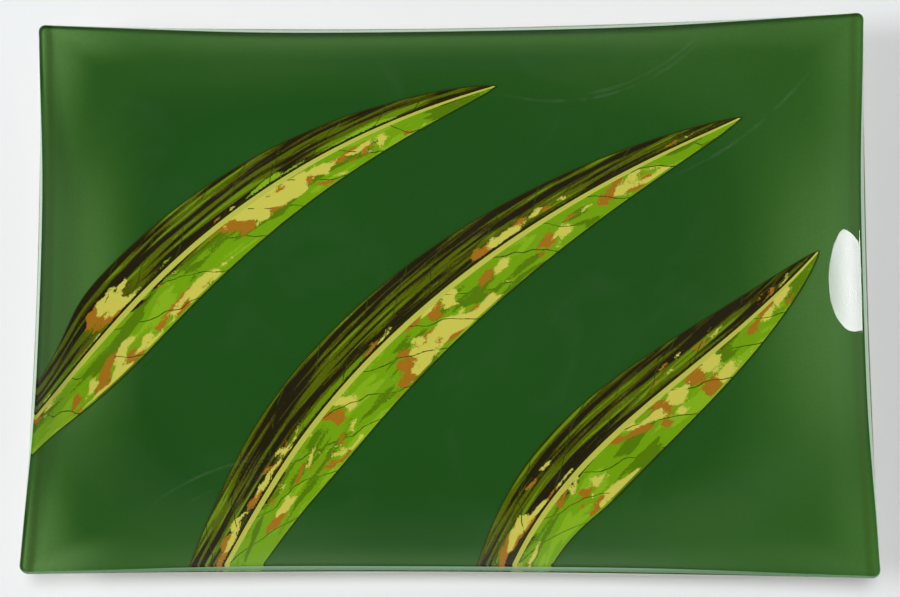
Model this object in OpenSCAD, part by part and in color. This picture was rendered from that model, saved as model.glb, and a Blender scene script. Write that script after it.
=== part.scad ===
// Slumped glass platter with a leaf picture fixed under it.
// A clear sheet with four upturned sides and raised corners carries, on its underside, three
// paper leaves, a dark green ground sheet and a backing sheet. It stands on four bumper feet.
// The picture is a plain design of long leaves. X runs along the plate and Z points up.
// The origin is at the centre of the plate, on the surface that it stands on.

/* [Plate] */
// Length over the glass
plate_l = 381; // [300:1:480]
// Width over the glass
plate_w = 254; // [200:1:320]
// Thickness of the glass
glass_t = 4; // [3:0.5:6]
// Radius of the corners, seen from above
corner_r = 4; // [2:0.5:10]
// Radius that rounds the edge of the glass
edge_r = 0.8; // [0.4:0.1:1.2]
// How far the middle of a long side is drawn in
side_bow = 2; // [0:0.5:5]
// How far the middle of a short side is drawn in
end_bow = 0.5; // [0:0.5:4]

/* [Rim] */
// Width of the rim in the middle of a long side
side_rim_w = 38; // [28:1:50]
// Width of the rim in the middle of a short side
end_rim_w = 57; // [40:1:70]
// Height of the glass's lower edge over its flat floor, in the middle of each side
rim_rise = 13.5; // [8:0.5:20]
// How much higher the corners stand
corner_lift = 8.7; // [0:0.1:14]

/* [Picture] */
// Thickness of the glue between two layers
glue_t = 0.15; // [0.1:0.05:0.3]
// Thickness of the paper leaves
leaf_t = 0.2; // [0.1:0.05:0.4]
// Thickness of the ground sheet
ground_t = 0.3; // [0.2:0.05:0.6]
// Thickness of the backing sheet
backing_t = 0.5; // [0.3:0.1:1]
// Distance from the edge of the sheets to the edge of the glass
sheet_inset = 0.4; // [0.2:0.1:4]
// Greatest width of the left leaf
left_leaf_w = 42; // [24:1:46]
// Greatest width of the middle leaf
middle_leaf_w = 46; // [24:1:50]
// Greatest width of the right leaf
right_leaf_w = 42; // [24:1:46]
// Width of a leaf's tip
tip_w = 0.8; // [0.4:0.1:2]

/* [Feet] */
// Diameter of a foot where it is stuck on
foot_d = 11; // [8:0.5:16]
// Height of a foot
foot_h = 3; // [2:0.5:5]
// Radius that rounds the lower edge of a foot
foot_round_r = 2; // [0.5:0.5:2]
// Distance from the centres of the feet to the sides of the flat floor
foot_margin = 28; // [24:1:32]

/* [Hidden] */

half_l = plate_l / 2;
half_w = plate_w / 2;
floor_half_l = half_l - end_rim_w;
floor_half_w = half_w - side_rim_w;

// Depths of the layers under the glass's lower surface
leaf_top = glue_t;
leaf_bottom = leaf_top + leaf_t;
ground_top = leaf_bottom + glue_t;
ground_bottom = ground_top + ground_t;
backing_top = ground_bottom + glue_t;
backing_bottom = backing_top + backing_t;
floor_z = foot_h + backing_bottom;

// The floor's outline is a superellipse of this power. Towards the edge the power grows, until
// the outline is the plate's own rectangle.
floor_power = 4;
edge_power = 90;
edge_fade_power = 16;

// How the rim bends up: 1 is an even bend all the way, less bends late and more bends early
side_bend_share = 0.95;
end_bend_share = 0.25;
corner_bend_share = 1.75;
corner_spread_power = 6;

// Facets: steps along a long side, a short side and a corner, rings over the rim and round the edge
side_steps = 18;
end_steps = 12;
corner_steps = 5;
rim_rings = 11;
edge_angles = [45, 90];
leaf_steps = 36;
leaf_lanes = 6;
foot_steps = 5;
round_fn = 64;
normal_step = 0.05;

// Midlines of the leaves, from foot to tip, as shares of the plate's half length and half width
left_leaf_shares = [[-1, -0.46], [-0.78, 0.06], [-0.44, 0.56], [0.12, 0.8]];
middle_leaf_shares = [[-0.52, -1], [-0.36, -0.34], [0.08, 0.26], [0.72, 0.66]];
right_leaf_shares = [[0.16, -1], [0.3, -0.5], [0.62, -0.3], [0.9, 0.16]];
// Where on its full outline each leaf is cut off by the plate's edge
left_cut_share = 0.2;
middle_cut_share = 0.16;
right_cut_share = 0.2;
// The outline is fullest a little before its middle, and its sides are rounder than a sine
leaf_lean_share = 0.85;
leaf_fullness_share = 0.68;
// Part of a leaf's length over which its cross lines turn from the plate's edge to square
leaf_turn_share = 0.35;

function mix(a, b, share) = a + (b - a) * share;
function smooth(share) = let (s = max(0, min(1, share))) s * s * (3 - 2 * s);
function unit(v) = v / norm(v);

// Radius of a point, given as shares of two half sizes, in the norm of a superellipse
function round_radius(p, power) = pow(pow(abs(p.x), power) + pow(abs(p.y), power), 1 / power);

// Share of the way from the floor's outline, 0, to the plate's edge, 1
function rim_share(p) =
    let (
        shares = [p.x / half_l, p.y / half_w],
        corner_radius = pow(2, 1 / floor_power),
        out = round_radius(shares, floor_power) / corner_radius,
        edge = round_radius(shares, floor_power + edge_power * pow(out, edge_fade_power)),
        floor = round_radius([p.x / floor_half_l, p.y / floor_half_w], floor_power)
    )
    floor <= 1 ? 0 : edge * (floor - 1) / (floor - edge);

// Height of the glass's lower surface over the floor
function rim_height(p) =
    let (
        s = rim_share(p),
        x2 = pow(p.x / half_l, 2),
        y2 = pow(p.y / half_w, 2),
        side = s > 0 ? mix(side_bend_share, end_bend_share, x2 / (x2 + y2)) : 1,
        corner = s > 0 ? pow(2 * sqrt(x2 * y2) / (x2 + y2), corner_spread_power) : 0,
        bend = mix(side, corner_bend_share, corner)
    )
    (rim_rise + corner_lift * x2 * y2) * (bend * pow(s, 2) + (1 - bend) * pow(s, 4));

// Point of the glass's lower surface, with the sides drawn in
function under_point(p) =
    let (x2 = pow(p.x / half_l, 2), y2 = pow(p.y / half_w, 2))
    [
        p.x * (1 - end_bow / half_l * x2 * (1 - y2)),
        p.y * (1 - side_bow / half_w * y2 * (1 - x2)),
        floor_z + rim_height(p),
    ];

function under_normal(p) =
    let (
        along = under_point(p + [normal_step, 0]) - under_point(p - [normal_step, 0]),
        across = under_point(p + [0, normal_step]) - under_point(p - [0, normal_step])
    )
    unit(cross(along, across));

// Point at a depth under the glass's lower surface, or inside the glass where it is negative
function layer_point(p, depth) = under_point(p) - depth * under_normal(p);

// The plate's outline from above, drawn in by an inset
function outline(inset) =
    let (
        r = max(corner_r - inset, edge_r),
        x = half_l - inset - r,
        y = half_w - inset - r,
        centres = [[x, y], [-x, y], [-x, -y], [x, -y]]
    )
    [
        for (k = [0 : 3])
            let (
                turn = 90 * k,
                last = centres[k] + r * [cos(turn + 90), sin(turn + 90)],
                next = centres[(k + 1) % 4] + r * [cos(turn + 90), sin(turn + 90)],
                steps = k % 2 == 0 ? side_steps : end_steps
            )
            each concat(
                [
                    for (j = [0 : corner_steps])
                        let (a = turn + 90 * j / corner_steps) centres[k] + r * [cos(a), sin(a)],
                ],
                [for (j = [1 : steps - 1]) mix(last, next, j / steps)]
            ),
    ];

// One ring of a layer: an outline with an inset, drawn in to a share of the rim's width
function ring(inset, share, depth) = [
    for (p = outline(inset))
        let (floor = p / round_radius([p.x / floor_half_l, p.y / floor_half_w], floor_power))
        layer_point(mix(floor, p, share), depth),
];

// A closed shell through rings that each have the same number of points
module ringed_shell(rings) {
    n = len(rings[0]);
    m = len(rings);
    polyhedron(
        points = [for (r = rings) each r],
        faces = concat(
            [[for (i = [n - 1 : -1 : 0]) i]],
            [for (j = [0 : m - 2], i = [0 : n - 1]) [j * n + i, j * n + (i + 1) % n, (j + 1) * n + i]],
            [
                for (j = [0 : m - 2], i = [0 : n - 1])
                    [j * n + (i + 1) % n, (j + 1) * n + (i + 1) % n, (j + 1) * n + i],
            ],
            [[for (i = [0 : n - 1]) (m - 1) * n + i]]
        )
    );
}

// A layer of the picture, all over the underside
module full_sheet(top, bottom) {
    ringed_shell(concat(
        [for (j = [0 : rim_rings]) ring(sheet_inset, j / rim_rings, top)],
        [for (j = [rim_rings : -1 : 0]) ring(sheet_inset, j / rim_rings, bottom)]
    ));
}

// Point and direction of a cubic curve through its four handles
function curve_point(h, u) =
    pow(1 - u, 3) * h[0] + 3 * pow(1 - u, 2) * u * h[1] + 3 * (1 - u) * pow(u, 2) * h[2] + pow(u, 3) * h[3];

function curve_way(h, u) =
    unit(pow(1 - u, 2) * (h[1] - h[0]) + 2 * (1 - u) * u * (h[2] - h[1]) + pow(u, 2) * (h[3] - h[2]));

// Half width of a leaf at a share of its length
function leaf_half_w(w, cut, u) =
    max(tip_w, w * pow(sin(180 * pow(mix(cut, 1, u), leaf_lean_share)), leaf_fullness_share)) / 2;

// A long leaf of paper that follows the underside and is cut off along the plate's edge
module leaf(shares, cut_way, w, cut) {
    sheet_half = [half_l - sheet_inset, half_w - sheet_inset];
    handles = [for (s = shares) [s.x * sheet_half.x, s.y * sheet_half.y]];
    plan = [
        for (j = [0 : leaf_steps])
            let (
                u = j / leaf_steps,
                way = curve_way(handles, u),
                lane_way = unit(mix(cut_way, [-way.y, way.x], smooth(u / leaf_turn_share)))
            )
            for (k = [0 : leaf_lanes])
                curve_point(handles, u) + (2 * k / leaf_lanes - 1) * leaf_half_w(w, cut, u) * lane_way,
    ];
    lanes = leaf_lanes + 1;
    n = lanes * (leaf_steps + 1);
    rim = concat(
        [for (k = [0 : leaf_lanes - 1]) k],
        [for (j = [0 : leaf_steps - 1]) j * lanes + leaf_lanes],
        [for (k = [leaf_lanes : -1 : 1]) leaf_steps * lanes + k],
        [for (j = [leaf_steps : -1 : 1]) j * lanes]
    );
    polyhedron(
        points = [for (depth = [leaf_top, leaf_bottom], p = plan) layer_point(p, depth)],
        faces = concat(
            [
                for (j = [0 : leaf_steps - 1], k = [0 : leaf_lanes - 1])
                    let (a = j * lanes + k)
                    each [[a, a + 1, a + lanes], [a + 1, a + lanes + 1, a + lanes]],
            ],
            [
                for (j = [0 : leaf_steps - 1], k = [0 : leaf_lanes - 1])
                    let (a = n + j * lanes + k)
                    each [[a, a + lanes, a + 1], [a + 1, a + lanes, a + lanes + 1]],
            ],
            [
                for (i = [0 : len(rim) - 1])
                    let (a = rim[i], b = rim[(i + 1) % len(rim)])
                    each [[a, n + a, b], [b, n + a, n + b]],
            ]
        )
    );
}

// A bumper foot: a short pad with a rounded lower edge and a flat underside
module foot(x_side, y_side) {
    r = foot_d / 2;
    profile = concat(
        [[0, 0]],
        [
            for (j = [0 : foot_steps])
                let (a = 90 * j / foot_steps)
                [r - foot_round_r * (1 - sin(a)), foot_round_r * (1 - cos(a))],
        ],
        [[r, foot_h], [0, foot_h]]
    );
    translate([x_side * (floor_half_l - foot_margin), y_side * (floor_half_w - foot_margin), 0])
        rotate_extrude($fn = round_fn)
            polygon(profile);
}

module glass_plate() {
    color([0.8, 0.93, 0.88, 0.4])
        ringed_shell(concat(
            [for (j = [0 : rim_rings]) ring(edge_r, j / rim_rings, -glass_t)],
            [
                for (a = edge_angles)
                    ring(edge_r * (1 - sin(a)), 1, edge_r * (1 - cos(a)) - glass_t),
            ],
            [
                for (i = [len(edge_angles) - 1 : -1 : 0])
                    let (a = edge_angles[i])
                    ring(edge_r * (1 - sin(a)), 1, -edge_r * (1 - cos(a))),
            ],
            [for (j = [rim_rings : -1 : 0]) ring(edge_r, j / rim_rings, 0)]
        ));
}

module leaf_left() {
    color([0.42, 0.6, 0.1])
        leaf(left_leaf_shares, [0, 1], left_leaf_w, left_cut_share);
}

module leaf_middle() {
    color([0.45, 0.62, 0.12])
        leaf(middle_leaf_shares, [-1, 0], middle_leaf_w, middle_cut_share);
}

module leaf_right() {
    color([0.4, 0.56, 0.1])
        leaf(right_leaf_shares, [-1, 0], right_leaf_w, right_cut_share);
}

module ground_sheet() {
    color([0.13, 0.31, 0.12])
        full_sheet(ground_top, ground_bottom);
}

module backing_sheet() {
    color([0.86, 0.85, 0.8])
        full_sheet(backing_top, backing_bottom);
}

module foot_front_left() {
    color([0.85, 0.87, 0.87])
        foot(-1, -1);
}

module foot_front_right() {
    color([0.85, 0.87, 0.87])
        foot(1, -1);
}

module foot_back_left() {
    color([0.85, 0.87, 0.87])
        foot(-1, 1);
}

module foot_back_right() {
    color([0.85, 0.87, 0.87])
        foot(1, 1);
}

glass_plate();
leaf_left();
leaf_middle();
leaf_right();
ground_sheet();
backing_sheet();
foot_front_left();
foot_front_right();
foot_back_left();
foot_back_right();
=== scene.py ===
"""The slumped glass platter with a leaf picture under it, on a pale table.

The plate's surface follows the same formulas as the CAD source, on a finer grid. Its lengths are
in millimetres, and MM turns them into metres. The table, the lamps and the camera are in metres.
"""

import math

import bpy
import numpy as np
from mathutils import Matrix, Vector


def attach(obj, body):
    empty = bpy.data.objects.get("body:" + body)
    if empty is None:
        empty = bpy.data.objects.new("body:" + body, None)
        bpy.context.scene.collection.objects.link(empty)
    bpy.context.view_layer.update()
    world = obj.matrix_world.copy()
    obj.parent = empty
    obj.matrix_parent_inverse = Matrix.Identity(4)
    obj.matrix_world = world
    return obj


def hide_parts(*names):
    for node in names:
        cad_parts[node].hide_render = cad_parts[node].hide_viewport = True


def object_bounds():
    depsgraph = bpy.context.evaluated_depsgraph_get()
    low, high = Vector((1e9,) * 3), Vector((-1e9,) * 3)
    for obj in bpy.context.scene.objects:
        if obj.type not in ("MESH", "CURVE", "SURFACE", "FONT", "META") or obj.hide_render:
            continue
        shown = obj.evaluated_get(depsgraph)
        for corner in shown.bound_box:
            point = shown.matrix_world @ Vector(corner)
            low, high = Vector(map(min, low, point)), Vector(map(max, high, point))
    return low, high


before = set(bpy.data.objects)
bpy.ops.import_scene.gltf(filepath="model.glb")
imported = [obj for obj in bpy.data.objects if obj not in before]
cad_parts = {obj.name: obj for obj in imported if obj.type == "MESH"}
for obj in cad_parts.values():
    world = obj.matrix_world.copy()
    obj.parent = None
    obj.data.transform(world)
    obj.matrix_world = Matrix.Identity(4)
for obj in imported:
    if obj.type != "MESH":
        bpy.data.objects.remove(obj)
cad_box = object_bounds()

MM = 0.001

# sizes, as in the CAD source
HALF = np.array([190.5, 127.0])
FLOOR_HALF = np.array([133.5, 89.0])
GLASS_T = 4.0
CORNER_R = 4.0
EDGE_R = 0.8
SIDE_BOW = 2.0
END_BOW = 0.5
RIM_RISE = 13.5
CORNER_LIFT = 8.7
FLOOR_Z = 4.45
FLOOR_POWER = 4
EDGE_POWER = 90
EDGE_FADE_POWER = 16
SIDE_BEND_SHARE, END_BEND_SHARE, CORNER_BEND_SHARE = 0.95, 0.25, 1.75
CORNER_SPREAD_POWER = 6
NORMAL_STEP = 0.05
SHEET_INSET = 0.4
LEAF_DEPTHS = (0.15, 0.35)
GROUND_DEPTHS = (0.5, 0.8)
BACKING_DEPTHS = (0.95, 1.45)
LEAF_TIP_W = 0.8
LEAF_LEAN_SHARE = 0.85
LEAF_FULLNESS_SHARE = 0.68
LEAF_TURN_SHARE = 0.35
FOOT_R, FOOT_H, FOOT_ROUND_R = 5.5, 3.0, 2.0
FOOT_X, FOOT_Y = 105.5, 61.0

# The leaves: name, curve in shares of the plate, way of the cut, width, share cut off, print's seed
LEAVES = [
    ("leaf_left", [[-1, -0.46], [-0.78, 0.06], [-0.44, 0.56], [0.12, 0.8]], (0, 1), 42, 0.2, 1.3),
    ("leaf_middle", [[-0.52, -1], [-0.36, -0.34], [0.08, 0.26], [0.72, 0.66]], (-1, 0), 46, 0.16, 4.1),
    ("leaf_right", [[0.16, -1], [0.3, -0.5], [0.62, -0.3], [0.9, 0.16]], (-1, 0), 42, 0.2, 7.7),
]

# sizes of the scene alone
SIDE_STEPS, END_STEPS, CORNER_STEPS = 110, 76, 12
FLOOR_SHARES = [-0.96, -0.8, -0.6, -0.4, -0.2]
RIM_SHARES = [*np.linspace(0, 0.92, 36), *np.linspace(0.93, 1, 12)]
LAYER_SHARES = FLOOR_SHARES + RIM_SHARES
LEAF_STEPS, LEAF_LANES = 220, 28
SHEET_SHARP_ANGLE, FOOT_SHARP_ANGLE = 50, 40
FOOT_FN = 64
FOOT_GROOVE_SHARES, FOOT_GROOVE_H = (0.35, 0.36, 0.42, 0.43), 0.12
FOOT_CHAMFER = 0.15


# the plate's surface
def round_radius(p, power):
    """How far out points lie: 1 on a square of half size 1, with rounder corners at lower powers."""
    power = np.broadcast_to(power, p.shape[:1])
    a = np.abs(p)
    big = np.maximum(a.max(axis=1), 1e-9)
    return big * ((a[:, 0] / big) ** power + (a[:, 1] / big) ** power) ** (1 / power)


def rim_share(p):
    """0 on the floor's outline and inside it, 1 on the plate's edge."""
    shares = p / HALF
    out = round_radius(shares, FLOOR_POWER) / 2 ** (1 / FLOOR_POWER)
    edge = round_radius(shares, FLOOR_POWER + EDGE_POWER * out**EDGE_FADE_POWER)
    floor = np.maximum(round_radius(p / FLOOR_HALF, FLOOR_POWER), 1)
    return edge * (floor - 1) / (floor - edge)


def under_point(p):
    """Points of the glass's lower surface over points of the plan, with the sides bowed in."""
    s = rim_share(p)
    x2, y2 = (p[:, 0] / HALF[0]) ** 2, (p[:, 1] / HALF[1]) ** 2
    total = np.maximum(x2 + y2, 1e-9)
    side = SIDE_BEND_SHARE + (END_BEND_SHARE - SIDE_BEND_SHARE) * x2 / total
    corner = (2 * np.sqrt(x2 * y2) / total) ** CORNER_SPREAD_POWER
    bend = side + (CORNER_BEND_SHARE - side) * corner
    height = (RIM_RISE + CORNER_LIFT * x2 * y2) * (bend * s**2 + (1 - bend) * s**4)
    return np.column_stack([
        p[:, 0] * (1 - END_BOW / HALF[0] * x2 * (1 - y2)),
        p[:, 1] * (1 - SIDE_BOW / HALF[1] * y2 * (1 - x2)),
        FLOOR_Z + height,
    ])


def under_normal(p):
    """Upward normals of the glass's lower surface."""
    along = under_point(p + [NORMAL_STEP, 0]) - under_point(p - [NORMAL_STEP, 0])
    across = under_point(p + [0, NORMAL_STEP]) - under_point(p - [0, NORMAL_STEP])
    n = np.cross(along, across)
    return n / np.linalg.norm(n, axis=1, keepdims=True)


def layer_point(p, depth):
    """Points at a depth under the glass's lower surface; the upper surface is at -GLASS_T."""
    return under_point(p) - depth * under_normal(p)


def outline(inset):
    """Points round the plan at an inset from the plate's edge, before the sides are bowed in."""
    r = max(CORNER_R - inset, EDGE_R)
    x, y = HALF - inset - r
    centres = np.array([(x, y), (-x, y), (-x, -y), (x, -y)])
    points = []
    for k, centre in enumerate(centres):
        turns = math.pi / 2 * (k + np.linspace(0, 1, CORNER_STEPS + 1))
        arms = r * np.column_stack([np.cos(turns), np.sin(turns)])
        arc = centre + arms
        next_arc_start = centres[(k + 1) % 4] + arms[-1]
        steps = SIDE_STEPS if k % 2 == 0 else END_STEPS
        shares = np.linspace(0, 1, steps + 1)[1:-1, None]
        points += [arc, arc[-1] + (next_arc_start - arc[-1]) * shares]
    return np.vstack(points)


def ring(inset, share, depth):
    """One ring of a layer. Shares from -1 to 0 lie on the flat floor, 0 to 1 on the rim."""
    p = outline(inset)
    floor = p / round_radius(p / FLOOR_HALF, FLOOR_POWER)[:, None]
    plan = floor * (1 + share) if share < 0 else floor + (p - floor) * share
    return layer_point(plan, depth)


def smooth(value, low, high):
    """0 below low and 1 above high, with a soft step between."""
    share = np.clip((value - low) / (high - low), 0, 1)
    return share * share * (3 - 2 * share)


# meshes
def make_object(name, points, faces, sharp_angle=None):
    """An object from points in mm, kept in the CAD box, which finer rounding leaves by 0.03 mm."""
    mesh = bpy.data.meshes.new(name)
    mesh.from_pydata(np.clip(np.asarray(points) * MM, *cad_box).tolist(), [], faces)
    mesh.validate()
    mesh.shade_smooth()
    if sharp_angle:
        mesh.set_sharp_from_angle(angle=math.radians(sharp_angle))
    obj = bpy.data.objects.new(name, mesh)
    bpy.context.scene.collection.objects.link(obj)
    return obj


def ringed_shell(name, rings, sharp_angle=None):
    """A closed shell: the first ring is capped on top and the last below."""
    n = len(rings[0])
    faces = [list(range(n))]
    for j in range(len(rings) - 1):
        a, b = j * n, (j + 1) * n
        faces += [[a + (i + 1) % n, a + i, b + i, b + (i + 1) % n] for i in range(n)]
    faces.append([(len(rings) - 1) * n + i for i in range(n - 1, -1, -1)])
    return make_object(name, np.vstack(rings), faces, sharp_angle)


def set_attribute(obj, name, values):
    """A number or a vector of three for each vertex, which materials read by name."""
    values = np.asarray(values, dtype=np.float32)
    kind, key = ("FLOAT", "value") if values.ndim == 1 else ("FLOAT_VECTOR", "vector")
    layer = obj.data.attributes.new(name, kind, "POINT")
    layer.data.foreach_set(key, values.ravel())


def finish_piece(obj, material, slot, *nodes):
    """Gives a piece its material, hides the CAD nodes it stands for, and hangs it under the root body."""
    obj.data.materials.append(material)
    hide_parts(*nodes)
    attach(obj, "root")


# node helpers
class Nodes:
    """Builds the node tree of a material or a world, with short calls for the usual nodes."""

    def __init__(self, owner):
        owner.use_nodes = True
        self.owner = owner
        self.tree = owner.node_tree
        self.tree.nodes.clear()

    def add(self, kind, inputs=(), **settings):
        """A new node, with its settings, and with values or links put into its inputs."""
        node = self.tree.nodes.new(kind)
        for key, value in settings.items():
            setattr(node, key, value)
        for key, value in dict(inputs).items():
            self.put(node.inputs[key], value)
        return node

    def put(self, socket, value):
        if isinstance(value, bpy.types.NodeSocket):
            self.tree.links.new(value, socket)
        else:
            socket.default_value = value

    def place(self):
        """A point's place in the shared frame, in metres."""
        return self.add("ShaderNodeTexCoord").outputs["Object"]

    def axis(self, vector, name):
        """The share of a vector along X, Y or Z."""
        return self.add("ShaderNodeSeparateXYZ", {0: vector}).outputs[name]

    def attribute(self, name, kind="Fac"):
        return self.add("ShaderNodeAttribute", attribute_name=name).outputs[kind]

    def math(self, operation, *values):
        return self.add("ShaderNodeMath", enumerate(values), operation=operation).outputs[0]

    def vector(self, x, y, z):
        return self.add("ShaderNodeCombineXYZ", {"X": x, "Y": y, "Z": z}).outputs[0]

    def noise(self, vector, scale, detail=2.0, roughness=0.5, distortion=0.0):
        return self.add("ShaderNodeTexNoise", {
            "Vector": vector, "Scale": scale, "Detail": detail,
            "Roughness": roughness, "Distortion": distortion,
        }).outputs[0]

    def range(self, value, low, high, to_low=0.0, to_high=1.0, smooth=False):
        return self.add("ShaderNodeMapRange", {
            "Value": value, "From Min": low, "From Max": high,
            "To Min": to_low, "To Max": to_high,
        }, interpolation_type="SMOOTHSTEP" if smooth else "LINEAR").outputs[0]

    def mix(self, share, a, b):
        """A mix of two colours, which are this node's inputs 6 and 7 and its output 2."""
        node = self.add("ShaderNodeMix", data_type="RGBA", clamp_factor=True)
        for index, value in ((0, share), (6, a), (7, b)):
            self.put(node.inputs[index], value)
        return node.outputs[2]

    def ramp(self, value, stops, interpolation="LINEAR"):
        node = self.add("ShaderNodeValToRGB", {"Fac": value})
        elements = node.color_ramp.elements
        node.color_ramp.interpolation = interpolation
        while len(elements) > 1:
            elements.remove(elements[-1])
        for k, (place, colour) in enumerate(stops):
            element = elements[0] if k == 0 else elements.new(place)
            element.position = place
            element.color = colour
        return node.outputs[0]

    def bump(self, height, distance, strength):
        return self.add("ShaderNodeBump", {
            "Height": height, "Distance": distance, "Strength": strength,
        }).outputs[0]

    def principled(self, **inputs):
        names = {key.replace("_", " "): value for key, value in inputs.items()}
        return self.add("ShaderNodeBsdfPrincipled", names).outputs[0]

    def plain_shader(self, kind, colour):
        return self.add(kind, {"Color": colour}).outputs[0]

    def mix_shader(self, share, a, b):
        return self.add("ShaderNodeMixShader", {0: share, 1: a, 2: b}).outputs[0]

    def output(self, shader, kind="ShaderNodeOutputMaterial"):
        self.add(kind, {"Surface": shader})
        return self.owner


def material_nodes(name):
    return Nodes(bpy.data.materials.new(name))


def rgb(r, g, b):
    """A linear colour from one as a screen shows it, 0 to 255."""
    shares = [v / 255 for v in (r, g, b)]
    linear = [v / 12.92 if v <= 0.04045 else ((v + 0.055) / 1.055) ** 2.4 for v in shares]
    return (*linear, 1.0)


# the glass's materials
GLASS_IOR = 1.5
GLUED_IOR = 1.0

# Cloth marks on the glass: an arc's centre, radius, middle point and half length, in mm
WIPE_MARKS = [
    ((52, 192), 100, (76, 95), 62),
    ((50, 196), 102, (92, 103), 40),
    ((44, 204), 160, (141, 76), 46),
    ((-75, -165), 91, (-92, -78), 52),
    ((-70, -170), 89, (-84, -84), 42),
]

# The height of the marks' centres, and how far from its line a mark is at full strength and ends
WIPE_Z = 12.0
WIPE_HALF_W = (0.2, 1.1)

# Where, along Y, the painted shade on the near edge, a darker haze for the edge that faces away from the
# lamps, is at full strength and ends
NEAR_EDGE_SHADE_Y = (-124.5, -120.0)


def clear_glass(n, ior, marks):
    """Glass that light passes straight through on its way to the print, so that the print stays bright."""
    waves = n.noise(n.place(), 14.0, 1.0)
    pane = n.principled(
        Base_Color=(0.94, 0.985, 0.96, 1.0),
        Roughness=n.range(marks, 0.45, 0.8, 0.0, 0.035),
        IOR=ior,
        Transmission_Weight=1.0,
        Normal=n.bump(waves, 0.0006, 0.015),
    )
    path = n.add("ShaderNodeLightPath").outputs
    straight = n.math("MAXIMUM", path["Is Shadow Ray"], path["Is Diffuse Ray"])
    clear = n.plain_shader("ShaderNodeBsdfTransparent", (0.93, 0.97, 0.945, 1.0))
    return n.mix_shader(straight, pane, clear)


def finger_marks(n):
    """Soft cloudy marks, which make the glass rough or hazy where they are strong."""
    return n.noise(n.place(), 28.0, 4.0, 0.6, 0.8)


def glued_glass_material():
    """The glass's face on the print, where the glue leaves nothing for light to bend at."""
    n = material_nodes("glued_glass")
    return n.output(clear_glass(n, GLUED_IOR, finger_marks(n)))


def glass_material():
    """Clear glass, with a faint waviness, and cloth marks and finger marks that dull it a little."""
    n = material_nodes("clear_glass")
    marks = finger_marks(n)
    place = n.place()

    def distance(x, y):
        """How far a point lies from one over the plan, in metres."""
        ends = {0: place, 1: (x * MM, y * MM, WIPE_Z * MM)}
        return n.add("ShaderNodeVectorMath", ends, operation="DISTANCE").outputs["Value"]

    haze = n.range(marks, 0.55, 0.75, 0.0, 0.3)
    patchy = n.range(n.noise(place, 75.0, 3.0, 0.7), 0.38, 0.62)
    for centre, radius, middle, reach in WIPE_MARKS:
        off = n.math("ABSOLUTE", n.math("SUBTRACT", distance(*centre), radius * MM))
        line = n.range(off, WIPE_HALF_W[0] * MM, WIPE_HALF_W[1] * MM, 1.0, 0.0, smooth=True)
        near = n.range(distance(*middle), 0.5 * reach * MM, reach * MM, 1.0, 0.0, smooth=True)
        haze = n.math("MAXIMUM", haze, n.math("MULTIPLY", n.math("MULTIPLY", line, near), patchy))
    film = n.plain_shader("ShaderNodeBsdfDiffuse", (0.85, 0.85, 0.8, 1.0))
    glass = clear_glass(n, GLASS_IOR, marks)
    return n.output(n.mix_shader(n.math("MULTIPLY", haze, 0.022), glass, film))


def ground_edge_material():
    """The glass's edge, ground dull: a little clear, the rest a pale green haze that light gets into, with
    painted shade darkening it along the near edge.
    """
    n = material_nodes("ground_glass_edge")
    grit = n.noise(n.place(), 2600.0, 2.0)
    # Painted shade: the haze turns dark green along the near edge, which faces away from the lamps
    near = n.range(n.axis(n.place(), "Y"), NEAR_EDGE_SHADE_Y[0] * MM, NEAR_EDGE_SHADE_Y[1] * MM, 1.0, 0.0)
    haze = n.mix(near, (0.78, 0.95, 0.82, 1.0), (0.24, 0.42, 0.27, 1.0))
    pane = n.principled(
        Base_Color=(0.9, 0.97, 0.93, 1.0),
        Roughness=0.25,
        IOR=GLASS_IOR,
        Transmission_Weight=1.0,
        Normal=n.bump(grit, 0.00002, 0.3),
    )
    back = n.plain_shader("ShaderNodeBsdfDiffuse", haze)
    through = n.plain_shader("ShaderNodeBsdfTranslucent", haze)
    scatter = n.mix_shader(0.35, back, through)
    return n.output(n.mix_shader(n.range(grit, 0.3, 0.7, 0.75, 0.95), pane, scatter))


# The ground print has an olive band along the two ends. A dark line runs round the edge, strongest where
# the rim's painted light is. Of each pair of widths in mm, the first is where the colour is at full
# strength and the second where it ends.
OLIVE_INSET = 4.4
OLIVE_HALF_W = (0.2, 2.8)
DARK_LINE_W = (1.9, 2.7)
DARK_LINE_CORNER_GAP = 1.15

# How far to each side of the middle the rim's painted light changes from left to right, and from near to
# far
LEFT_TO_RIGHT, NEAR_TO_FAR = 80, 40


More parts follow.
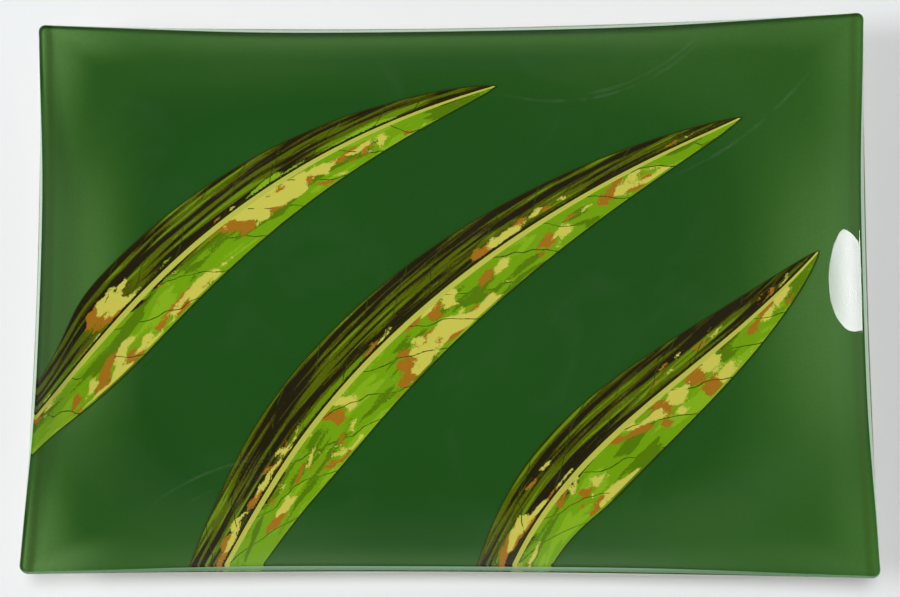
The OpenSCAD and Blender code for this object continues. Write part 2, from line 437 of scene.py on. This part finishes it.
def ground_material():
    """Dark green printed paper, with the olive bands and the dark line, and painted light and reflection
    that make it paler up the rim.

    The attribute "pale", the painted light and reflection on the rim, is 0 on the floor and about 1
    up the rim, and "border" is the distance from the plate's edge in mm, with a little more at the
    corners.
    """
    n = material_nodes("ground_paper")
    place = n.place()
    pale = n.attribute("pale")
    border = n.attribute("border")
    cloud = n.noise(place, 9.0, 3.0)
    grain = n.noise(place, 900.0, 2.0)
    colour = n.mix(n.range(cloud, 0.3, 0.7), rgb(36, 83, 28), rgb(39, 87, 31))
    # Painted light and painted reflection: the print turns paler up the rim and at the corners, and greyer
    # where it is palest
    colour = n.mix(n.range(pale, 0.0, 2.0), colour, rgb(106, 149, 64))
    colour = n.mix(n.range(pale, 0.4, 1.6, 0.0, 0.2), colour, rgb(140, 168, 136))
    along = n.math("ABSOLUTE", n.axis(place, "X"))
    off = n.math("ABSOLUTE", n.math("SUBTRACT", along, (HALF[0] - OLIVE_INSET) * MM))
    olive = n.range(off, OLIVE_HALF_W[0] * MM, OLIVE_HALF_W[1] * MM, 0.42, 0.0, smooth=True)
    colour = n.mix(olive, colour, rgb(60, 82, 20))
    dark = n.math("MULTIPLY", n.range(border, *DARK_LINE_W, 1.0, 0.0), n.range(pale, 0.6, 1.1, 0.15, 0.8))
    colour = n.mix(dark, colour, rgb(22, 56, 16))
    colour = n.mix(n.range(grain, 0.35, 0.75, 0.0, 0.12), colour, rgb(24, 62, 20))
    return n.output(n.principled(
        Base_Color=colour,
        Roughness=n.range(grain, 0.3, 0.7, 0.6, 0.75),
        Specular_IOR_Level=0.05,
        Normal=n.bump(grain, 0.00002, 0.5),
    ))


# the leaves' print, in mm
OUTLINE_W = 0.55
PATCH_MARGIN = 1.4
RUST_SHIFT = 9.0
VEIN_STEP = 27.0
VEIN_SLANT = 15.0
RIB_HALF_W = (0.4, 1.25)
RIB_SHADOW_W = (0.5, 1.8)

# The print's brushes: length and breadth of a blotch in mm, and its layer of the noise
TONE_BRUSH = (46.0, 9.0, 0.0)
STREAK_BRUSH = (60.0, 2.6, 3.0)
PATCH_BRUSH = (24.0, 11.0, 7.0)


def leaf_material(name, seed):
    """A leaf printed in a few flat tones with dry, ragged borders.

    The attribute "lane" holds the way along the leaf in mm, the share across it from -1 to 1,
    and the half width in mm. The side at +1 lies in shade.
    """
    n = material_nodes(name)
    along, across, half = n.add("ShaderNodeSeparateXYZ", {0: n.attribute("lane", "Vector")}).outputs
    width = n.math("MULTIPLY", across, half)
    from_rib = n.math("ABSOLUTE", width)
    from_edge = n.math("SUBTRACT", half, from_rib)
    grain = n.noise(n.place(), 1300.0, 3.0, 0.8)
    ragged = n.math("MULTIPLY", n.math("SUBTRACT", grain, 0.5), 0.16)

    def brush(length, breadth, layer, shift=0.0):
        """Soft blotches of about a length and a breadth, with ragged borders."""
        x = n.math("DIVIDE", n.math("ADD", along, shift), length)
        y = n.math("DIVIDE", width, breadth)
        return n.math("ADD", n.noise(n.vector(x, y, seed + layer), 1.0, 2.5, 0.55, 0.3), ragged)

    # The lit half is bright and the shaded half dark, and they meet raggedly near the rib
    tone = brush(*TONE_BRUSH)
    streak = brush(*STREAK_BRUSH)
    lit = n.ramp(tone, [
        (0.0, rgb(96, 128, 12)),
        (0.43, rgb(126, 168, 16)),
        (0.57, rgb(146, 184, 30)),
    ], "CONSTANT")
    shaded = n.ramp(n.math("SUBTRACT", streak, n.math("MULTIPLY", across, 0.08)), [
        (0.0, rgb(40, 33, 15)),
        (0.44, rgb(72, 66, 12)),
        (0.49, rgb(94, 104, 8)),
        (0.58, rgb(116, 146, 14)),
    ], "CONSTANT")
    border = n.math("MULTIPLY", n.math("SUBTRACT", tone, 0.48), 1.4)
    colour = n.mix(n.math("GREATER_THAN", across, border), lit, shaded)

    # Tan patches, each with a rusty side towards the leaf's foot
    inside = n.math("GREATER_THAN", from_edge, PATCH_MARGIN)
    shade = n.math("MULTIPLY", n.math("MAXIMUM", across, 0.0), 0.16)
    patch_tones = ((RUST_SHIFT, 0.57, rgb(180, 116, 28)), (0.0, 0.575, rgb(224, 207, 90)))
    for shift, level, print_colour in patch_tones:
        blotch = n.math("SUBTRACT", brush(*PATCH_BRUSH, shift), shade)
        patch_share = n.math("MULTIPLY", n.math("GREATER_THAN", blotch, level), inside)
        colour = n.mix(patch_share, colour, print_colour)

    # Side veins leave the rib towards the tip, and are half a step out on the two halves
    upper = n.math("GREATER_THAN", across, 0.0)
    wander = n.noise(n.vector(along, n.math("MULTIPLY", across, 6.0), seed), 0.05, 2.0)
    start = n.math("ADD", n.math("DIVIDE", along, VEIN_STEP), wander)
    start = n.math("SUBTRACT", start, n.math("DIVIDE", from_rib, VEIN_SLANT))
    step = n.math("FRACT", n.math("ADD", start, n.math("MULTIPLY", upper, 0.5)))
    from_vein = n.math("ABSOLUTE", n.math("SUBTRACT", step, 0.5))
    vein = n.math("LESS_THAN", from_vein, n.range(grain, 0.3, 0.7, 0.004, 0.026))
    colour = n.mix(n.math("MULTIPLY", vein, n.math("GREATER_THAN", tone, 0.44)), colour, rgb(60, 72, 12))

    # The rib, its shadow and the leaf's dark outline
    rib_half = n.range(half, 2.0, 20.0, *RIB_HALF_W)
    shadow_end = n.math("ADD", rib_half, n.range(grain, 0.3, 0.7, *RIB_SHADOW_W))
    shadow = n.math("MULTIPLY", n.math("LESS_THAN", width, shadow_end), upper)
    colour = n.mix(shadow, colour, rgb(46, 40, 14))
    colour = n.mix(n.math("LESS_THAN", from_rib, rib_half), colour, rgb(206, 198, 84))
    colour = n.mix(n.math("LESS_THAN", from_edge, OUTLINE_W), colour, rgb(50, 58, 12))
    return n.output(n.principled(
        Base_Color=colour,
        Roughness=n.range(grain, 0.3, 0.7, 0.55, 0.7),
        Specular_IOR_Level=0.05,
        Normal=n.bump(grain, 0.00002, 0.4),
    ))


# materials of what lies underneath, with the height in mm that dust reaches on the feet
FOOT_DUST_H = 0.8


def backing_material():
    """Sealed cream paper, with fibres and the brush marks of its sealer."""
    n = material_nodes("backing_paper")
    place = n.place()
    stretched = n.add("ShaderNodeMapping", {"Vector": place, "Scale": (14.0, 420.0, 1.0)})
    stroke = n.noise(stretched.outputs[0], 1.0, 3.0, 0.6)
    fibre = n.noise(place, 650.0, 4.0, 0.7, 1.5)
    cloud = n.noise(place, 12.0, 3.0)
    base = n.mix(n.range(cloud, 0.3, 0.7), rgb(222, 217, 202), rgb(206, 199, 180))
    height = n.math("ADD", n.math("MULTIPLY", stroke, 0.7), n.math("MULTIPLY", fibre, 0.3))
    return n.output(n.principled(
        Base_Color=n.mix(n.range(fibre, 0.5, 0.8, 0.0, 0.35), base, rgb(176, 164, 138)),
        Roughness=n.range(stroke, 0.3, 0.7, 0.38, 0.6),
        Normal=n.bump(height, 0.00008, 0.6),
    ))


def foot_material():
    """A clear soft bumper, slightly clouded, with dust pressed into its underside."""
    n = material_nodes("foot_rubber")
    place = n.place()
    cloud = n.noise(place, 300.0, 3.0)
    dust = n.noise(place, 1600.0, 3.0, 0.7)
    low = n.range(n.axis(place, "Z"), 0.0, FOOT_DUST_H * MM, 1.0, 0.0)
    worn = n.math("MULTIPLY", low, n.range(dust, 0.5, 0.7))
    base = n.mix(n.range(cloud, 0.35, 0.7), (0.86, 0.88, 0.88, 1.0), (0.78, 0.81, 0.8, 1.0))
    return n.output(n.principled(
        Base_Color=n.mix(worn, base, (0.5, 0.48, 0.44, 1.0)),
        Roughness=n.range(cloud, 0.3, 0.7, 0.18, 0.35),
        IOR=1.48,
        Transmission_Weight=0.7,
        Normal=n.bump(dust, 0.00003, 0.4),
    ))


# the glass
def glass_plate():
    """The clear glass, with materials of their own on its glued face and the steep part of its edge."""
    rounding = [
        (EDGE_R * (1 - math.sin(a)), EDGE_R * (1 - math.cos(a)))
        for a in np.radians(np.linspace(0, 90, 8)[1:])
    ]
    top = [ring(EDGE_R, s, -GLASS_T) for s in LAYER_SHARES]
    upper = [ring(inset, 1, depth - GLASS_T) for inset, depth in rounding]
    lower = [ring(inset, 1, -depth) for inset, depth in rounding[::-1]]
    bottom = [ring(EDGE_R, s, 0) for s in LAYER_SHARES[::-1]]
    glass = ringed_shell("platter_glass", top + upper + lower + bottom)
    finish_piece(glass, glass_material(), "clear_glass", "glass_plate")
    glass.data.materials.append(glued_glass_material())
    glass.data.materials.append(ground_edge_material())
    glued, ground = 1, 2

    def row_start(rings_above):
        """The number of the first face below so many rings, after the cap and the rows between them."""
        return 1 + (rings_above - 1) * len(top[0])

    edge_rows = 3
    edge_stop = len(top) + len(upper) + 1
    for face in glass.data.polygons[row_start(edge_stop - edge_rows):row_start(edge_stop)]:
        face.material_index = ground
    for face in glass.data.polygons[row_start(len(top) + len(upper) + len(lower)):]:
        face.material_index = glued


# the sheets under it
def directions(plan):
    """Share towards the two ends against the long sides, and nearness to the diagonals."""
    squares = (plan / HALF) ** 2
    ends = squares[:, 0] / squares.sum(axis=1)
    return ends, 2 * np.sqrt(ends * (1 - ends))


def edge_distance(plan):
    """About how far points near the plate's edge lie from it, in mm."""
    bows = np.array([END_BOW, SIDE_BOW]) * (1 - (plan[:, ::-1] / HALF[::-1]) ** 2)
    gaps = HALF - bows - np.abs(plan)
    rounded = CORNER_R - np.linalg.norm(np.maximum(CORNER_R - gaps, 0), axis=1)
    return np.where(gaps.min(axis=1) < CORNER_R, rounded, gaps.min(axis=1))


def painted_rim_light(plan, rim_shares):
    """How far the print is painted paler than on the floor, from 0 to about 1.3, as painted light and
    painted reflection.

    The two ends are palest halfway up, and the long sides and the corners at the edge, with the brightest
    painted highlights in the left corners.
    """
    ends, diagonal = directions(plan)
    wide_corner = diagonal**6
    corner = diagonal ** np.where(ends > 0.5, 20, 120)
    right = smooth(plan[:, 0], -LEFT_TO_RIGHT, LEFT_TO_RIGHT)
    far = smooth(plan[:, 1], -NEAR_TO_FAR, NEAR_TO_FAR)
    fading = (0.3 + 0.25 * right) * smooth(rim_shares, 0.75, 1)
    halfway = smooth(rim_shares, 0.1 - 0.35 * right, 0.65) * (1 - fading)
    halfway_level = ends * (0.9 - 0.15 * right) + (1 - ends) * 0.1 * far
    halfway_level += (0.18 + 0.1 * right - halfway_level) * wide_corner
    edge_level = (1 - ends) * (0.38 + 0.36 * far)
    edge_level += (1.35 - 0.75 * right - 0.1 * right * (1 - far) - edge_level) * corner
    return halfway * halfway_level + smooth(rim_shares, 0.63, 1) * edge_level


def full_sheet(name, depths, material, slot, node):
    """A sheet under the whole plate, from its upper to its lower depth."""
    rings = [ring(SHEET_INSET, s, depths[0]) for s in LAYER_SHARES]
    rings += [ring(SHEET_INSET, s, depths[1]) for s in LAYER_SHARES[::-1]]
    sheet = ringed_shell(name, rings, SHEET_SHARP_ANGLE)
    plan = np.vstack(rings)[:, :2]
    rim_shares = np.repeat(LAYER_SHARES + LAYER_SHARES[::-1], len(rings[0]))
    # The rim's painted light and reflection, which the ground print reads as "pale"
    set_attribute(sheet, "pale", painted_rim_light(plan, rim_shares))
    set_attribute(sheet, "border", edge_distance(plan) + DARK_LINE_CORNER_GAP * directions(plan)[1] ** 12)
    finish_piece(sheet, material, slot, node)


# the leaves
def curve_point(h, u):
    """Points on a cubic curve with four handles, at shares of its way."""
    u = u[:, None]
    return (1 - u) ** 3 * h[0] + 3 * (1 - u) ** 2 * u * h[1] + 3 * (1 - u) * u**2 * h[2] + u**3 * h[3]


def curve_way(h, u):
    """Which way the curve runs there, as unit vectors."""
    u = u[:, None]
    way = (1 - u) ** 2 * (h[1] - h[0]) + 2 * (1 - u) * u * (h[2] - h[1]) + u**2 * (h[3] - h[2])
    return way / np.linalg.norm(way, axis=1, keepdims=True)


def leaf_faces():
    """Faces of a leaf's upper layer, of its lower layer, and of the border between them."""
    count = LEAF_LANES + 1
    n = count * (LEAF_STEPS + 1)
    faces = []
    for j in range(LEAF_STEPS):
        for k in range(LEAF_LANES):
            a = j * count + k
            faces.append([a, a + count, a + count + 1, a + 1])
            faces.append([n + a, n + a + 1, n + a + count + 1, n + a + count])
    border = list(range(LEAF_LANES))
    border += [j * count + LEAF_LANES for j in range(LEAF_STEPS)]
    border += [LEAF_STEPS * count + k for k in range(LEAF_LANES, 0, -1)]
    border += [j * count for j in range(LEAF_STEPS, 0, -1)]
    for a, b in zip(border, border[1:] + border[:1]):
        faces.append([a, b, n + b, n + a])
    return faces


def leaf(name, shares, cut_way, width, cut, material):
    """A paper leaf that follows the underside, cut off along the plate's edge at its foot."""
    h = np.array(shares) * (HALF - SHEET_INSET)
    u = np.linspace(0, 1, LEAF_STEPS + 1)
    mid, way = curve_point(h, u), curve_way(h, u)
    turn = smooth(u, 0, LEAF_TURN_SHARE)[:, None]
    side = np.array(cut_way) * (1 - turn) + np.column_stack([-way[:, 1], way[:, 0]]) * turn
    side /= np.linalg.norm(side, axis=1, keepdims=True)
    swell = np.sin(math.pi * (cut + (1 - cut) * u) ** LEAF_LEAN_SHARE) ** LEAF_FULLNESS_SHARE
    half = np.maximum(LEAF_TIP_W, width * swell) / 2
    along = np.concatenate([[0], np.cumsum(np.linalg.norm(np.diff(mid, axis=0), axis=1))])
    across = np.linspace(-1, 1, LEAF_LANES + 1)
    plan = (mid[:, None] + across[None, :, None] * (half[:, None] * side)[:, None]).reshape(-1, 2)
    points = np.vstack([layer_point(plan, depth) for depth in LEAF_DEPTHS])
    obj = make_object(name + "_paper", points, leaf_faces(), SHEET_SHARP_ANGLE)
    count = len(across)
    lane = np.column_stack([np.repeat(along, count), np.tile(across, len(u)), np.repeat(half, count)])
    set_attribute(obj, "lane", np.vstack([lane, lane]))
    finish_piece(obj, material, "leaf_paper", name)


# the feet
def foot(node, x, y, material):
    """A bumper with a rounded lower edge and a shallow groove moulded into its underside."""
    heights = (0.0, FOOT_GROOVE_H, FOOT_GROOVE_H, 0.0)
    profile = [(FOOT_R * share, height) for share, height in zip(FOOT_GROOVE_SHARES, heights)]
    for a in np.radians(np.linspace(0, 90, 9)):
        profile.append((FOOT_R - FOOT_ROUND_R * (1 - math.sin(a)), FOOT_ROUND_R * (1 - math.cos(a))))
    profile += [(FOOT_R, FOOT_H - FOOT_CHAMFER), (FOOT_R - FOOT_CHAMFER, FOOT_H)]
    turns = 2 * math.pi * np.arange(FOOT_FN) / FOOT_FN
    rings = [
        np.column_stack([x + r * np.cos(turns), y + r * np.sin(turns), np.full(FOOT_FN, z)])
        for r, z in profile[::-1]
    ]
    finish_piece(ringed_shell(node + "_bumper", rings, FOOT_SHARP_ANGLE), material, "foot_rubber", node)


glass_plate()
for name, shares, cut_way, width, cut, seed in LEAVES:
    leaf(name, shares, cut_way, width, cut, leaf_material(name + "_print", seed))
full_sheet("ground_print", GROUND_DEPTHS, ground_material(), "ground_paper", "ground_sheet")
full_sheet("backing_paper_sheet", BACKING_DEPTHS, backing_material(), "backing_paper", "backing_sheet")
rubber = foot_material()
for row, y in (("front", -FOOT_Y), ("back", FOOT_Y)):
    for side, x in (("left", -FOOT_X), ("right", FOOT_X)):
        foot(f"foot_{row}_{side}", x, y, rubber)


# the table, in metres from here on
TABLE_HALF = 6.0


def table():
    """A plain pale table top, far wider than the view."""
    mesh = bpy.data.meshes.new("table_top")
    corners = [(x * TABLE_HALF, y * TABLE_HALF, 0) for x, y in ((-1, -1), (1, -1), (1, 1), (-1, 1))]
    mesh.from_pydata(corners, [], [[0, 1, 2, 3]])
    obj = bpy.data.objects.new("table_top", mesh)
    bpy.context.scene.collection.objects.link(obj)
    n = material_nodes("pale_table")
    cloud = n.range(n.noise(n.place(), 2.5, 2.0), 0.3, 0.7)
    mesh.materials.append(n.output(n.principled(
        Base_Color=n.mix(cloud, (0.89, 0.911, 0.919, 1.0), (0.87, 0.891, 0.899, 1.0)),
        Roughness=0.8,
        Specular_IOR_Level=0.2,
    )))


table()


# light
def area_lamp(name, place, way, up, size, radiance, spread=180.0):
    """An oval lamp at a place. It shines against its way, and the second of its sizes follows up."""
    lamp = bpy.data.lights.new(name, "AREA")
    lamp.shape = "ELLIPSE"
    lamp.size, lamp.size_y = size
    lamp.spread = math.radians(spread)
    oval_area = math.pi / 4 * size[0] * size[1]
    lamp.energy = radiance * math.pi * oval_area
    obj = bpy.data.objects.new(name, lamp)
    bpy.context.scene.collection.objects.link(obj)
    way = np.array(way) / np.linalg.norm(way)
    side = np.cross(up, way)
    side /= np.linalg.norm(side)
    turn = np.eye(4)
    turn[:3, :3] = np.column_stack([side, np.cross(way, side), way])
    turn[:3, 3] = place
    obj.matrix_world = Matrix(turn.tolist())
    obj.visible_camera = False
    obj.visible_transmission = False
    return obj


# The key stands on the left, high up, and a broad fill hangs overhead
KEY_WAY = np.array([-0.757, -0.02, 0.653])
KEY_DISTANCE = 3.0
FILL_PLACE = (0.1, 0.35, 2.4)
key = area_lamp("key_lamp", KEY_WAY * KEY_DISTANCE, KEY_WAY, (0, 0, 1), (1.5, 0.7), 14.8)
fill = area_lamp("fill_lamp", FILL_PLACE, FILL_PLACE, (0, 1, 0), (0.9, 0.9), 12.2)
for lamp in (key, fill):
    lamp.visible_glossy = False

# A small narrow-beamed lamp near the plate shows only as a mirrored patch, from above in the right rim
PATCH_PLACE = (-0.0109, 0.0351, 0.1516)
PATCH_WAY = (-0.8123, 0.1358, 0.5671)
PATCH_UP = (0.5752, 0.0272, 0.8175)
patch = area_lamp("patch_lamp", PATCH_PLACE, PATCH_WAY, PATCH_UP, (0.0425, 0.185), 3.6, spread=80.0)
patch.data.color = (0.97, 0.92, 1.0)
patch.visible_diffuse = False

# The sky's grey at heights from level, 0, to straight up, 1, where the camera hangs
SKY_STOPS = [
    (0.0, 0.8), (0.25, 0.7), (0.4, 0.45), (0.55, 0.28),
    (0.7, 0.2), (0.85, 0.13), (0.93, 0.04), (1.0, 0.01),
]


def sky():
    """Soft light all round, darker overhead, and up to half as strong again at the left and the right."""
    world = bpy.data.worlds.new("studio")
    bpy.context.scene.world = world
    n = Nodes(world)
    way = n.add("ShaderNodeTexCoord").outputs["Generated"]
    grey = n.ramp(n.axis(way, "Z"), [(height, (level, level, level, 1.0)) for height, level in SKY_STOPS])
    along = n.axis(way, "X")
    strength = n.math("MULTIPLY_ADD", n.math("MULTIPLY", along, along), 0.5, 1.0)
    light = n.add("ShaderNodeBackground", {"Color": grey, "Strength": strength})
    n.output(light.outputs[0], "ShaderNodeOutputWorld")


sky()

# camera
CAMERA_PLACE = (0.0469, -0.0997, 0.7655)
CAMERA_TURNS = (7.44, 3.42, 0.16)
camera_data = bpy.data.cameras.new("camera")
camera_data.sensor_width = 36.0
camera_data.lens = 66.2
camera_data.clip_start = 0.01
camera = bpy.data.objects.new("camera", camera_data)
bpy.context.scene.collection.objects.link(camera)
camera.location = CAMERA_PLACE
camera.rotation_euler = [math.radians(turn) for turn in CAMERA_TURNS]
bpy.context.scene.camera = camera
bpy.context.scene.view_settings.view_transform = "Standard"

bpy.context.view_layer.update()
